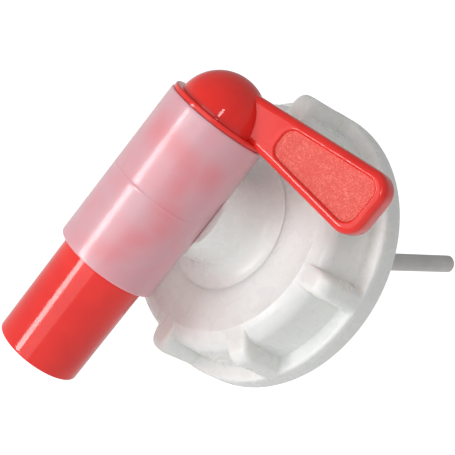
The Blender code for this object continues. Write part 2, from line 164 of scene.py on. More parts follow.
def placePiece(piece, body, node, sharpAngle=38):
    piece.data.shade_smooth()
    piece.data.set_sharp_from_angle(angle=math.radians(sharpAngle))
    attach(piece, body)
    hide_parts(node)
    triangles = sum(len(face.vertices) - 2 for face in piece.data.polygons)
    print(f"{piece.name}: {triangles} triangles")
    return piece


def smoothStep(value):
    value = min(1.0, max(0.0, value))
    return value * value * (3 - 2 * value)


# materials: small helpers for the node trees
def newFinish(name, colour, roughness):
    material = bpy.data.materials.new(name)
    material.use_nodes = True
    shader = material.node_tree.nodes["Principled BSDF"]
    shader.inputs["Base Color"].default_value = (*colour, 1.0)
    shader.inputs["Roughness"].default_value = roughness
    coords = addNode(material, "ShaderNodeTexCoord")
    return material, shader, coords.outputs["Object"]


def addNode(material, kind, links=None, values=None, **settings):
    tree = material.node_tree
    node = tree.nodes.new(kind)
    for name, value in settings.items():
        setattr(node, name, value)
    for key, value in (values or {}).items():
        node.inputs[key].default_value = value
    for key, socket in (links or {}).items():
        tree.links.new(socket, node.inputs[key])
    return node


def noiseValue(material, vector, scale, detail=3.0, roughness=0.5, distortion=0.0):
    values = {"Scale": scale, "Detail": detail, "Roughness": roughness, "Distortion": distortion}
    node = addNode(material, "ShaderNodeTexNoise", {"Vector": vector}, values)
    return node.outputs["Fac"]


def mathValue(material, operation, first, second=0.0, third=0.0):
    node = addNode(material, "ShaderNodeMath", operation=operation)
    for index, item in enumerate((first, second, third)):
        if isinstance(item, bpy.types.NodeSocket):
            material.node_tree.links.new(item, node.inputs[index])
        else:
            node.inputs[index].default_value = item
    return node.outputs[0]


def square(material, value):
    return mathValue(material, "MULTIPLY", value, value)


def vectorValue(material, operation, links, values=None):
    return addNode(material, "ShaderNodeVectorMath", links, values, operation=operation)


def rangeValue(material, value, low, high, newLow=0.0, newHigh=1.0):
    values = {"From Min": low, "From Max": high, "To Min": newLow, "To Max": newHigh}
    node = addNode(
        material, "ShaderNodeMapRange", {"Value": value}, values, interpolation_type="SMOOTHSTEP", clamp=True
    )
    return node.outputs["Result"]


def colourRamp(material, value, stops):
    node = addNode(material, "ShaderNodeValToRGB", {"Fac": value})
    ramp = node.color_ramp
    while len(ramp.elements) < len(stops):
        ramp.elements.new(0.5)
    for element, (position, colour) in zip(ramp.elements, stops):
        element.position = position
        element.color = (*colour, 1.0)
    return node.outputs["Color"]


def mixColour(material, share, first, second):
    node = addNode(material, "ShaderNodeMix", data_type="RGBA")
    colours = [s for s in node.inputs if s.type == "RGBA"]
    for socket, item in ((node.inputs["Factor"], share), (colours[0], first), (colours[1], second)):
        if isinstance(item, bpy.types.NodeSocket):
            material.node_tree.links.new(item, socket)
        elif isinstance(item, tuple):
            socket.default_value = (*item, 1.0)
        else:
            socket.default_value = item
    return next(s for s in node.outputs if s.type == "RGBA")


def bumpNormal(material, shader, height, strength, distance):
    node = addNode(
        material, "ShaderNodeBump", {"Height": height}, {"Strength": strength, "Distance": distance}
    )
    material.node_tree.links.new(node.outputs["Normal"], shader.inputs["Normal"])
    return node


def linkTo(material, shader, **sockets):
    names = {"colour": "Base Color", "roughness": "Roughness"}
    for key, socket in sockets.items():
        material.node_tree.links.new(socket, shader.inputs[names[key]])


def milkyCapPlastic(name="milkyCapPlastic", depth=0.75):
    # natural polyethylene, softly see-through, with faint flow clouds
    material, shader, coords = newFinish(name, (0.80, 0.80, 0.77), 0.34)
    shader.inputs["Subsurface Weight"].default_value = depth
    shader.inputs["Subsurface Radius"].default_value = (1.0, 0.95, 0.85)
    shader.inputs["Subsurface Scale"].default_value = 4 * mm
    shader.inputs["IOR"].default_value = 1.50
    clouds = noiseValue(material, coords, 55.0, 3.0, 0.55, 0.6)
    fine = noiseValue(material, coords, 900.0, 2.0)
    colour = colourRamp(material, clouds, [(0.25, (0.775, 0.785, 0.765)), (0.75, (0.81, 0.82, 0.80))])
    roughness = rangeValue(material, noiseValue(material, coords, 220.0), 0.3, 0.7, 0.24, 0.31)
    linkTo(material, shader, colour=colour, roughness=roughness)
    height = mathValue(material, "MULTIPLY_ADD", fine, 0.25, clouds)
    bumpNormal(material, shader, height, 0.15, 0.10 * mm)
    return material


barrelLook = {
    "wander": 3 * mm,  # how far the edges of the touching places stray
    "touchShare": 0.85,
    "blendStart": 0.02 * mm,  # the pink ends this far outside the barrel
    "blendEnd": 0.35 * mm,
    "pale": (0.66, 0.36, 0.405),
    "pink": (0.70, 0.32, 0.365),
    "red": (0.72, 0.245, 0.275),
    "neck": (0.80, 0.80, 0.77),
    # places where the red plug touches the wall: degrees round, height, half sizes, turn
    "touches": [
        (-57, 12.0, 6.5, 2.2, -10),
        (-40, 10.0, 4.5, 2.0, -25),
        (-33, 5.0, 2.0, 5.0, 0),
        (-26, -1.5, 4.0, 2.4, -40),
        (-20, -5.5, 2.4, 3.6, 0),
        (-32, -11.0, 4.5, 2.2, 40),
        (-50, -17.0, 5.5, 2.2, 30),
        (-87, 12.0, 3.0, 3.0, 0),
        (-14, 11.0, 2.5, 3.0, 0),
    ],
}


def mistyBarrelPlastic():
    # natural plastic over the red plug: pink where the plug is near, redder where it touches
    material, shader, coords = newFinish("mistyBarrelPlastic", barrelLook["pink"], 0.32)
    shader.inputs["Subsurface Weight"].default_value = 0.4
    shader.inputs["Subsurface Radius"].default_value = (1.0, 0.8, 0.75)
    shader.inputs["Subsurface Scale"].default_value = 2 * mm
    shader.inputs["Coat Weight"].default_value = 0.7
    shader.inputs["Coat Roughness"].default_value = 0.16
    centred = addNode(
        material, "ShaderNodeMapping", {"Vector": coords}, {"Location": -barrelAxis}
    ).outputs["Vector"]
    parts = addNode(material, "ShaderNodeSeparateXYZ", {"Vector": centred}).outputs
    squares = mathValue(material, "ADD", square(material, parts["X"]), square(material, parts["Y"]))
    reach = mathValue(material, "SQRT", squares)
    around = mathValue(material, "ARCTAN2", parts["Y"], parts["X"])
    along = mathValue(material, "MULTIPLY", around, barrelRadius)
    flat = addNode(material, "ShaderNodeCombineXYZ", {"X": along, "Y": parts["Z"]}).outputs["Vector"]
    wander = addNode(material, "ShaderNodeTexNoise", {"Vector": coords}, {"Scale": 110.0, "Detail": 2.0})
    drift = {0: wander.outputs["Color"]}
    shift = vectorValue(material, "SUBTRACT", drift, {1: (0.5, 0.5, 0.5)}).outputs["Vector"]
    stray = (barrelLook["wander"], barrelLook["wander"], 0)
    moved = vectorValue(material, "MULTIPLY_ADD", {0: shift, 2: flat}, {1: stray}).outputs["Vector"]
    touching = 0.0
    for degrees, height, halfWide, halfHigh, turn in barrelLook["touches"]:
        values = {
            "Location": (math.radians(degrees) * barrelRadius, height * mm, 0.0),
            "Rotation": (0.0, 0.0, math.radians(turn)),
            "Scale": (halfWide * mm, halfHigh * mm, 1.0),
        }
        blob = addNode(material, "ShaderNodeMapping", {"Vector": moved}, values, vector_type="TEXTURE")
        length = vectorValue(material, "LENGTH", {0: blob.outputs["Vector"]}).outputs["Value"]
        touch = rangeValue(material, length, 0.1, 2.1, barrelLook["touchShare"], 0.0)
        touching = mathValue(material, "MAXIMUM", touching, touch)
    clouds = noiseValue(material, coords, 75.0, 3.0, 0.5, 0.8)
    pink = colourRamp(material, clouds, [(0.35, barrelLook["pale"]), (0.65, barrelLook["pink"])])
    wall = mixColour(material, touching, pink, barrelLook["red"])
    start, end = barrelRadius + barrelLook["blendStart"], barrelRadius + barrelLook["blendEnd"]
    pinkShare = rangeValue(material, reach, start, end, 1.0, 0.0)
    colour = mixColour(material, pinkShare, barrelLook["neck"], wall)
    roughness = rangeValue(material, noiseValue(material, coords, 260.0), 0.3, 0.7, 0.30, 0.42)
    linkTo(material, shader, colour=colour, roughness=roughness)
    bumpNormal(material, shader, clouds, 0.15, 0.08 * mm)
    return material


def glossyRedPlastic():
    material, shader, coords = newFinish("glossyRedPlastic", (0.76, 0.024, 0.018), 0.2)
    shader.inputs["IOR"].default_value = 1.46
    shader.inputs["Subsurface Weight"].default_value = 0.05
    shader.inputs["Subsurface Radius"].default_value = (1.0, 0.25, 0.18)
    shader.inputs["Subsurface Scale"].default_value = 1.5 * mm
    flow = noiseValue(material, coords, 90.0, 3.0, 0.5, 0.5)
    colour = colourRamp(material, flow, [(0.3, (0.70, 0.020, 0.016)), (0.7, (0.80, 0.030, 0.022))])
    roughness = rangeValue(material, noiseValue(material, coords, 300.0), 0.3, 0.7, 0.08, 0.13)
    linkTo(material, shader, colour=colour, roughness=roughness)
    fine = noiseValue(material, coords, 1200.0, 2.0)
    height = mathValue(material, "MULTIPLY_ADD", fine, 0.3, flow)
    bumpNormal(material, shader, height, 0.18, 0.06 * mm)
    return material


def grainedRedPlastic():
    # the sunk panel of the lever: a matte, wormy spark-eroded grain
    material, shader, coords = newFinish("grainedRedPlastic", (0.80, 0.09, 0.07), 0.6)
    worms = noiseValue(material, coords, 1400.0, 2.0, 0.45, 1.6)
    ridges = mathValue(material, "ABSOLUTE", mathValue(material, "SUBTRACT", worms, 0.5))
    height = rangeValue(material, ridges, 0.0, 0.12, 1.0, 0.0)
    # the raised grain lines are painted lighter and the field between them darker: painted highlight and
    # shade over the grain relief
    colour = colourRamp(material, height, [(0.1, (0.76, 0.085, 0.068)), (0.9, (0.90, 0.165, 0.13))])
    roughness = rangeValue(material, height, 0.0, 1.0, 0.7, 0.5)
    linkTo(material, shader, colour=colour, roughness=roughness)
    bumpNormal(material, shader, height, 0.7, 0.10 * mm)
    return material


def greyTubePlastic():
    material, shader, coords = newFinish("greyTubePlastic", (0.32, 0.31, 0.30), 0.45)
    shader.inputs["Subsurface Weight"].default_value = 0.1
    shader.inputs["Subsurface Scale"].default_value = 1.0 * mm
    stretched = addNode(
        material, "ShaderNodeMapping", {"Vector": coords}, {"Scale": (1.0, 0.06, 0.06)}
    ).outputs["Vector"]
    draw = noiseValue(material, stretched, 1500.0, 2.0)
    clouds = noiseValue(material, coords, 120.0)
    both = mathValue(material, "MULTIPLY_ADD", draw, 0.4, mathValue(material, "MULTIPLY", clouds, 0.6))
    colour = colourRamp(material, both, [(0.3, (0.46, 0.45, 0.435)), (0.7, (0.57, 0.56, 0.54))])
    roughness = rangeValue(material, clouds, 0.3, 0.7, 0.38, 0.52)
    linkTo(material, shader, colour=colour, roughness=roughness)
    bumpNormal(material, shader, draw, 0.2, 0.05 * mm)
    return material


def sealingFoam():
    material, shader, coords = newFinish("sealingFoam", (0.80, 0.80, 0.78), 0.75)
    cells = addNode(material, "ShaderNodeTexVoronoi", {"Vector": coords}, {"Scale": 2600.0})
    cellDepth = cells.outputs["Distance"]
    # the colour darkens towards the bottom of each cell pit: painted shade in the pits
    colour = colourRamp(material, cellDepth, [(0.0, (0.66, 0.66, 0.64)), (0.5, (0.82, 0.82, 0.80))])
    roughness = rangeValue(material, cellDepth, 0.0, 0.6, 0.85, 0.65)
    linkTo(material, shader, colour=colour, roughness=roughness)
    bumpNormal(material, shader, cellDepth, 0.5, 0.12 * mm)
    return material


def paleSealRubber():
    material, shader, coords = newFinish("paleSealRubber", (0.56, 0.55, 0.52), 0.5)
    fine = noiseValue(material, coords, 1400.0, 3.0)
    colour = colourRamp(material, fine, [(0.3, (0.50, 0.49, 0.46)), (0.7, (0.60, 0.59, 0.56))])
    roughness = rangeValue(material, fine, 0.3, 0.7, 0.42, 0.58)
    linkTo(material, shader, colour=colour, roughness=roughness)
    bumpNormal(material, shader, fine, 0.3, 0.04 * mm)
    return material


cap = {
    "front": capLow.y,
    "rear": capHigh.y,
    "columns": 384,  # 48 for each lug and the space beside it
    "hubHole": 11.6 * mm,
    "hubRadius": 14.0 * mm,
    "hubRear": 1.6 * mm,
    "wall": 2.5 * mm,
    "lineRadius": 29.0 * mm,  # fine raised line round the face
    "lineHeight": 0.16 * mm,
    "skirtFront": 33.4 * mm,
    "skirtRear": 34.3 * mm,
    "shoulderHeight": 4.3 * mm,
    "ringRadius": 38.5 * mm,
    "ringHeight": 6.4 * mm,
    "coreInner": 34.4 * mm,
    "coreOuter": 36.7 * mm,
    "coreDepth": 4.5 * mm,
    "lugCount": 8,
    "lugFirst": 10.0,  # degrees from +X towards +Z
    "lugHalf": 5.3,
    "lugFlank": 3.2,
    "lugFront": 37.8 * mm,
    "lugRear": 38.1 * mm,
    "lugNose": 3.2 * mm,
    "threadRoot": 30.9 * mm,
    "threadDepth": 1.4 * mm,
    "threadFront": 3.6 * mm,
    "threadPitch": 5.0 * mm,
    "threadTurns": 1.75,
}


def capRows():
    # pairs of matching points: the section between the lugs, and the section through one
    front, rear = cap["front"], cap["rear"]
    ringFront = rear - cap["ringHeight"]
    line, hole = cap["lineRadius"], cap["hubHole"]
    lugFrontY = front + 0.2 * mm
    soft = 0.4 * mm

    face = arcPoints((hole + soft, front + soft), (soft, soft), 180, 270, 3)
    face += linePoints(face[-1], (line - 0.5 * mm, front), 7)
    face += [
        (line - 0.3 * mm, front - 0.35 * cap["lineHeight"]),
        (line, front - cap["lineHeight"]),
        (line + 0.12 * mm, front - 0.8 * cap["lineHeight"]),
    ]
    rows = [(point, point) for point in face]

    # shoulder against the lug's flat front and nose
    rise = 74.5
    ellipseX = line - 1.6 * mm
    shoulderY = front + cap["shoulderHeight"]
    ellipse = (cap["skirtFront"] - ellipseX, cap["shoulderHeight"] / math.sin(math.radians(rise)))
    plain = arcPoints((ellipseX, shoulderY), ellipse, -rise + 2, 0, 12)[1:]
    nose = cap["lugNose"]
    noseCentre = (cap["lugFront"] - nose, lugFrontY + nose)
    lug = linePoints((line + 0.3 * mm, front + 0.03 * mm), (noseCentre[0], lugFrontY), 5)
    lug += arcPoints(noseCentre, (nose, nose), -90, 0, 7)[1:]
    rows += zip(plain, lug)

    # skirt against the lug's back
    foot = 0.5 * mm
    plain = linePoints(plain[-1], (cap["skirtRear"], ringFront - foot), 8)
    plain += arcPoints((cap["skirtRear"] + foot, ringFront - foot), (foot, foot), 180, 90, 4)[1:]
    lug = linePoints(lug[-1], (cap["lugRear"], ringFront - 0.9 * mm), 8)
    lug += linePoints(lug[-1], (cap["lugRear"] + 0.06 * mm, ringFront - 0.3 * mm), 4)
    rows += zip(plain, lug)

    # the ring's front face and its soft edge
    edge = 0.8 * mm
    edgeCentre = (cap["ringRadius"] - 0.2 * mm - edge, ringFront + edge)
    plain = linePoints(plain[-1], (edgeCentre[0], ringFront), 4)
    lugEnd = arcPoints(edgeCentre, (edge, edge), -18, 0, 5)
    lug = linePoints(lug[-1], lugEnd[0], 4)
    plain += arcPoints(edgeCentre, (edge, edge), -90, 0, 5)[1:]
    lug += lugEnd[1:]
    rows += zip(plain, lug)

    # the rest is the same all round: the ring's outside, its cored rear and the mouth
    edge = 0.7 * mm
    outer = linePoints(plain[-1], (cap["ringRadius"], rear - edge), 4)
    outer += arcPoints((cap["ringRadius"] - edge, rear - edge), (edge, edge), 0, 90, 5)[1:]
    coreY = rear - cap["coreDepth"]
    coreIn, coreOut = cap["coreInner"], cap["coreOuter"]
    root = cap["threadRoot"]
    outer += [(coreOut + 0.2 * mm, rear), (coreOut, rear - 0.2 * mm)]
    outer += linePoints(outer[-1], (coreOut, coreY + soft), 3)
    outer += [(coreOut - soft, coreY), (coreIn + soft, coreY), (coreIn, coreY + soft)]
    outer += linePoints(outer[-1], (coreIn, rear - 0.2 * mm), 3)
    outer += [(coreIn - 0.2 * mm, rear), (root + 1.8 * mm, rear), (root + 1.6 * mm, rear - 0.2 * mm)]
    outer += linePoints(outer[-1], (root, rear - 1.8 * mm), 2)

    # threaded wall, inner face and hub
    inside = front + cap["wall"]
    hub, hubRear = cap["hubRadius"], cap["hubRear"]
    inner = linePoints(outer[-1], (root, inside + soft), 56)
    inner += [(root - soft, inside)]
    inner += linePoints(inner[-1], (hub + soft, inside), 6)
    inner += [(hub, inside + soft)]
    inner += linePoints(inner[-1], (hub, hubRear - 0.3 * mm), 3)
    inner += [(hub - 0.3 * mm, hubRear), (hole + soft, hubRear), (hole, hubRear - soft)]
    inner += linePoints(inner[-1], (hole, front + soft), 5)[:-1]
    rows += [(point, point) for point in outer + inner]
    return rows


def lugStops():
    # (degrees from the middle of a lug, how far the section is the lug's) over half a period
    half, flank = cap["lugHalf"], cap["lugFlank"]
    top = half - flank
    stops = [(top * i / 3, 1.0) for i in range(3)]
    for i in range(9):
        turn = math.radians(90 * i / 8)
        stops.append((top + flank * math.sin(turn), 0.06 + 0.94 * math.cos(turn)))
    foot = half + 0.4
    stops += [(half + 0.15, 0.02), (foot, 0.0)]
    end = 180 / cap["lugCount"]
    stops += [(foot + (end - foot) * i / 11, 0.0) for i in range(1, 12)]
    return stops


def threadHeight(turns, y):
    # how far the right-hand thread stands out of the wall
    height = 0.0
    for whole in (0, 1):
        along = turns + whole
        if along > cap["threadTurns"]:
            continue
        middle = cap["threadFront"] + cap["threadPitch"] * (cap["threadTurns"] - along)
        runOut = min(1.0, along / 0.05, (cap["threadTurns"] - along) / 0.05)
        side = 1.15 * mm - abs(y - middle)
        height = max(height, smoothStep(side / (0.7 * mm)) * smoothStep(runOut))
    return height * cap["threadDepth"]


def buildCap():
    rows = capRows()
    bm = spunShape([plain for plain, lug in rows], "Y", cap["columns"])
    rowLayer = bm.verts.layers.int["row"]
    stops = lugStops()
    perLug = cap["columns"] // cap["lugCount"]
    period = 360 / cap["lugCount"]
    for vert in bm.verts:
        plain, lug = rows[vert[rowLayer]]
        column = round(math.atan2(vert.co.z, vert.co.x) / (2 * math.pi) * cap["columns"]) % cap["columns"]
        whole, part = divmod(column, perLug)
        if part <= perLug // 2:
            offset, share = stops[part]
        else:
            offset, share = stops[perLug - part]
            offset = period - offset
        angle = math.radians(cap["lugFirst"] + whole * period + offset)
        radius = plain[0] + (lug[0] - plain[0]) * share
        y = plain[1] + (lug[1] - plain[1]) * share
        if abs(plain[0] - cap["threadRoot"]) < 0.001 * mm:
            radius -= threadHeight((angle / (2 * math.pi)) % 1.0, y)
        vert.co = (radius * math.cos(angle), y, radius * math.sin(angle))
    piece = makeObject("capShell", bm, milkyCapPlastic())
    return placePiece(piece, "cap", "screw_cap")


gasket = {
    "inner": 25.0 * mm,
    "outer": gasketHigh.x,
    "front": gasketLow.y,
    "rear": gasketHigh.y,
    "edge": 0.25 * mm,
    "ribs": 3,
    "ribDepth": 0.14 * mm,
}


def buildGasket():
    inner, outer, edge = gasket["inner"], gasket["outer"], gasket["edge"]
    front, rear = gasket["front"], gasket["rear"]
    profile = arcPoints((inner + edge, front + edge), (edge, edge), 180, 270, 3)
    profile += arcPoints((outer - edge, front + edge), (edge, edge), 270, 360, 3)
    profile += arcPoints((outer - edge, rear - edge), (edge, edge), 0, 90, 3)
    steps = 12 * gasket["ribs"]
    for i in range(1, steps):
        share = i / steps
        sink = gasket["ribDepth"] * (0.5 - 0.5 * math.cos(2 * math.pi * gasket["ribs"] * share))
        profile.append((outer - edge + (inner + 2 * edge - outer) * share, rear - sink))
    profile += arcPoints((inner + edge, rear - edge), (edge, edge), 90, 180, 3)
    piece = makeObject("sealingGasket", spunShape(profile, "Y", 180), sealingFoam())
    return placePiece(piece, "cap", "cap_gasket")


body = {
    "columns": 192,
    "bottom": bodyLow.z,
    "top": bodyHigh.z,
    "bore": 11.6 * mm,
    "snapGrooveZ": -19.5 * mm,
    "snapGroove": 0.65 * mm,
    "partingZ": -1.4 * mm,  # fine raised line where the mould halves meet
    "partingHeight": 0.05 * mm,
    "neckRadius": 12.8 * mm,
    "neckBore": 8.6 * mm,
    "neckFloorZ": -5.0 * mm,
    "foot": (5.2 * mm, 5.2 * mm),  # flare that spreads over the cap
    "footEdge": 0.04 * mm,
    "runningGap": 0.06 * mm,
    "spigot": 11.3 * mm,
    "spigotEnd": 5.0 * mm,
    "bead": 12.5 * mm,
    "ringFloor": 9.8 * mm,
    "ringSection": 0.75 * mm,
    "ringY": -1.4 * mm,
    "ventZ": -7.6 * mm,
    "ventRadius": 1.2 * mm,
    "bossRadius": 3.6 * mm,
    "slotCount": 4,
    "jointReach": 1.1 * mm,  # how near the corner between neck and barrel is smoothed
    "jointRounds": 12,
}

tube = {
    "radius": 2.5 * mm,
    "bore": 1.5 * mm,
    "tilt": math.radians(19.6),
    "root": Vector((0.0, 7.3 * mm, -7.3 * mm)),
    "length": 79.0 * mm,
}


def tubePoint(distance):
    return tube["root"] + Vector((0.0, math.cos(tube["tilt"]), math.sin(tube["tilt"]))) * distance


def barrelProfile():
    top, bottom, radius = body["top"], body["bottom"], barrelRadius
    soft, parting = 0.35 * mm, body["partingHeight"]
    middle = body["partingZ"]
    outline = [(0.0, bottom)]
    outline += arcPoints((radius - soft, bottom + soft), (soft, soft), -90, 0, 4)
    outline += [
        (radius, middle - 0.12 * mm),
        (radius + parting, middle),
        (radius, middle + 0.12 * mm),
    ]
    outline += arcPoints((radius - soft, top - soft), (soft, soft), 0, 90, 4)
    outline += [(0.0, top)]
    return fillRows(outline, 0.6 * mm)


def neckProfile():
    start = barrelAxis.y + body["bore"] - 3.0 * mm
    shoulder = capLow.y - body["runningGap"]
    foot, neck = body["foot"], body["neckRadius"]
    spigot, floor = body["spigot"], body["ringFloor"]
    groove, half = body["ringY"], body["ringSection"] + 0.2 * mm
    beadY = cap["hubRear"] + gap
    end = body["spigotEnd"]
    outline = [
        (0.0, start),
        (neck, start),
        *arcPoints((neck + foot[0], shoulder - body["footEdge"] - foot[1]), foot, 180, 90, 24),
        (neck + foot[0], shoulder),
        (spigot, shoulder),
        (spigot, groove - half),
        (floor, groove - half),
        (floor, groove + half),
        (spigot, groove + half),
        (spigot, beadY),
        (body["bead"] - 0.2 * mm, beadY),
        (body["bead"], beadY + 0.2 * mm),
        (body["bead"], beadY + 0.7 * mm),
        (spigot - 0.5 * mm, end - 0.2 * mm),
        (spigot - 0.7 * mm, end),
        (0.0, end),
    ]
    return fillRows(outline, 0.6 * mm)


def snapSlot(index):
    inner, outer, depth, width = 7.5 * mm, 14.0 * mm, 8.0 * mm, 1.3 * mm
    bm = bmesh.new()
    bmesh.ops.create_cube(bm, size=1.0)
    bmesh.ops.scale(bm, verts=bm.verts, vec=(outer - inner, depth, width))
    middle = ((inner + outer) / 2, cap["hubRear"] + 0.1 * mm + depth / 2, 0.0)
    bmesh.ops.translate(bm, verts=bm.verts, vec=middle)
    bmesh.ops.rotate(bm, verts=bm.verts, matrix=Matrix.Rotation(math.radians(-60 * index), 3, "Y"))
    return bm


def softenNeckJoint(piece):
    # rounds the inside corner where the neck leaves the barrel
    bm = bmesh.new()
    bm.from_mesh(piece.data)
    near = []
    for vert in bm.verts:
        fromNeck = abs(math.hypot(vert.co.x, vert.co.z) - body["neckRadius"])
        fromBarrel = abs(math.hypot(vert.co.x, vert.co.y - barrelAxis.y) - barrelRadius)
        outside = math.hypot(vert.co.x, vert.co.y - barrelAxis.y) > barrelRadius - 0.01 * mm
        onNeck = math.hypot(vert.co.x, vert.co.z) > body["neckRadius"] - 0.01 * mm
        if outside and onNeck and vert.co.y > barrelAxis.y and fromNeck + fromBarrel < body["jointReach"]:
            near.append(vert)
    for _ in range(body["jointRounds"]):
        bmesh.ops.smooth_vert(bm, verts=near, factor=0.5, use_axis_x=True, use_axis_y=True, use_axis_z=True)
    bm.to_mesh(piece.data)
    bm.free()


def buildTapBody():
    columns, over = body["columns"], 2.0 * mm
    shape = spunShape(barrelProfile(), "Z", columns, False, barrelAxis)
    piece = makeObject("tapBarrel", shape, mistyBarrelPlastic(), milkyCapPlastic("milkyNeckPlastic", 0.0))

    boss = roundRod(body["bossRadius"], tubePoint(-5.0 * mm), tubePoint(6.5 * mm), 64)
    trim = roundRod(body["spigot"] - 0.4 * mm, (0, 0.6 * mm, 0), (0, 25 * mm, 0), 96)
    bossPiece = combineShapes(makeObject("boss", boss), [("INTERSECT", trim)])
    bossShape = bmesh.new()
    bossShape.from_mesh(bossPiece.data)
    bpy.data.objects.remove(bossPiece, do_unlink=True)

    bore, groove, grooveZ = body["bore"], body["snapGroove"], body["snapGrooveZ"]
    chamfer, grooveHalf = 0.3 * mm, 1.3 * mm
    boreProfile = [
        (0.0, body["bottom"] - over),
        (bore + over + chamfer, body["bottom"] - over),
        (bore, body["bottom"] + chamfer),
        (bore, grooveZ - grooveHalf),
        (bore + groove, grooveZ - grooveHalf + groove),
        (bore + groove, grooveZ + grooveHalf - groove),
        (bore, grooveZ + grooveHalf),
        (bore, body["top"] - chamfer),
        (bore + over + chamfer, body["top"] + over),
        (0.0, body["top"] + over),
    ]
    inside = barrelAxis.y + bore - over
    passage = roundRod(body["neckBore"], (0, inside, 0), (0, body["spigotEnd"] + over, 0), 128)
    sliceOff(passage, (0, 0, body["neckFloorZ"]), (0, 0, -1))
    vent = body["ventZ"]
    channel = roundRod(body["ventRadius"], (0, inside, vent), (0, tube["root"].y + 0.6 * mm, vent), 32)
    socket = roundRod(tube["radius"] + 0.25 * mm, tubePoint(-0.4 * mm), tubePoint(8.5 * mm), 64)
    combineShapes(
        piece,
        [
            ("UNION", spunShape(neckProfile(), "Y", columns, False)),
            ("UNION", bossShape),
            ("DIFFERENCE", spunShape(boreProfile, "Z", columns, False, barrelAxis)),
            ("DIFFERENCE", passage),
            ("DIFFERENCE", channel),
            ("DIFFERENCE", socket),
        ]
        + [("DIFFERENCE", snapSlot(index)) for index in range(body["slotCount"])],
    )
    softenNeckJoint(piece)
    for face in piece.data.polygons:  # the neck and its foot are as milky as the cap
        if math.hypot(face.center.x, face.center.y - barrelAxis.y) > barrelRadius + 0.4 * mm:
            face.material_index = 1
    return placePiece(piece, "tap", "tap_body")


def buildNeckRing():
    section, middle = body["ringSection"], (cap["hubHole"] + body["ringFloor"]) / 2
    profile = arcPoints((middle, body["ringY"]), (section, section), 0, 345, 23)
    piece = makeObject("neckSealRing", spunShape(profile, "Y", 180), paleSealRubber())
    return placePiece(piece, "tap", "neck_o_ring")


def buildAirTube():
    radius, bore, length = tube["radius"], tube["bore"], tube["length"]
    edge = 0.2 * mm
    profile = arcPoints((bore + edge, edge), (edge, edge), 180, 270, 3)
    profile += arcPoints((radius - edge, edge), (edge, edge), 270, 360, 3)
    profile += linePoints(profile[-1], (radius, length - edge), 40)
    profile += arcPoints((radius - edge, length - edge), (edge, edge), 0, 90, 3)[1:]
    profile += arcPoints((bore + edge, length - edge), (edge, edge), 90, 180, 3)
    profile += linePoints(profile[-1], (bore, edge), 40)[:-1]
    bm = spunShape(profile, "Z", 64)
    bmesh.ops.rotate(bm, verts=bm.verts, matrix=Matrix.Rotation(tube["tilt"] - math.pi / 2, 3, "X"))
    bmesh.ops.translate(bm, verts=bm.verts, vec=tube["root"])
    piece = makeObject("airTube", bm, greyTubePlastic())
    return placePiece(piece, "tap", "vent_tube")


plug = {
    "columns": 192,
    "turn": math.radians(20),  # the lever's angle from +X towards +Y
    "radius": 11.3 * mm,
    "bore": 9.3 * mm,
    "spoutTop": 11.35 * mm,
    "spoutEnd": 11.2 * mm,
    "spoutEndZ": plugLow.z,
    "collar": 13.1 * mm,
    "collarTop": 22.4 * mm,
    "domeZ": 21.6 * mm,
    "domeRadius": 11.24 * mm,
    "domeWall": 2.0 * mm,
    "beadHeight": 0.55 * mm,
    "portRadius": 6.3 * mm,
    "portZ": 1.9 * mm,
    "ductTop": -6.0 * mm,
    "ductWall": 1.0 * mm,
    "ductChord": 6.6 * mm,
    "sealHeight": 0.2 * mm,  # raised ribs that touch the barrel
    "sealWidth": 0.9 * mm,
    "sealOval": (10.4 * mm, 15.6 * mm),
    "sealOvalZ": -3.0 * mm,
    "sealRingsZ": (18.6 * mm, -15.6 * mm),
    "pocket": 0.6 * mm,  # sunk field inside each oval
}


def plugProfile():
    edge, radius = 0.35 * mm, plug["radius"]
    end, bottom, top = plug["spoutEndZ"], body["bottom"], body["top"]
    bead, beadZ, beadHalf = radius + plug["beadHeight"], body["snapGrooveZ"], 0.9 * mm
    lip = 0.3 * mm
    rimGap = body["runningGap"]
    crown = math.degrees(math.asin((plug["collarTop"] - plug["domeZ"]) / plug["domeRadius"]))
    outline = [(0.0, end)]
    outline += arcPoints((plug["spoutEnd"] - edge, end + edge), (edge, edge), -90, 0, 4)
    outline += [
        (plug["spoutTop"], bottom - gap),
        (radius, bottom),
        (radius, beadZ - beadHalf),
        (bead, beadZ - beadHalf + plug["beadHeight"]),
        (bead, beadZ + beadHalf - plug["beadHeight"]),
        (radius, beadZ + beadHalf),
        (radius, top + rimGap),
        (plug["collar"] - 0.1 * mm, top + rimGap),
        (plug["collar"], top + rimGap + 0.1 * mm),
    ]
    outline += arcPoints((plug["collar"] - lip, plug["collarTop"] - lip), (lip, lip), 0, 90, 4)
    rows = fillRows(outline, 0.55 * mm)
    dome = arcPoints((0.0, plug["domeZ"]), (plug["domeRadius"], plug["domeRadius"]), crown, 90, 48)
    dome[-1] = (0.0, plug["domeZ"] + plug["domeRadius"])
    return rows + dome


def sealShape(angle, z):
    # height of the sealing ribs above the plug, less the sunk field inside an oval
    width = plug["sealWidth"]
    ringGap = min(abs(z - ringZ) for ringZ in plug["sealRingsZ"])
    height = plug["sealHeight"] * smoothStep(1 - ringGap / width)
    for middle in (-math.pi / 2, math.pi / 2):
        turn = (angle - middle + math.pi) % (2 * math.pi) - math.pi
        across = turn * plug["radius"] / plug["sealOval"][0]
        along = (z - plug["sealOvalZ"]) / plug["sealOval"][1]
        reach = (math.hypot(across, along) - 1) * plug["sealOval"][0]
        if abs(reach) < width:
            height = max(height, plug["sealHeight"] * smoothStep(1 - abs(reach) / width))
        elif reach < 0:
            height = -plug["pocket"] * smoothStep((-reach - width) / (1.0 * mm))
    return height


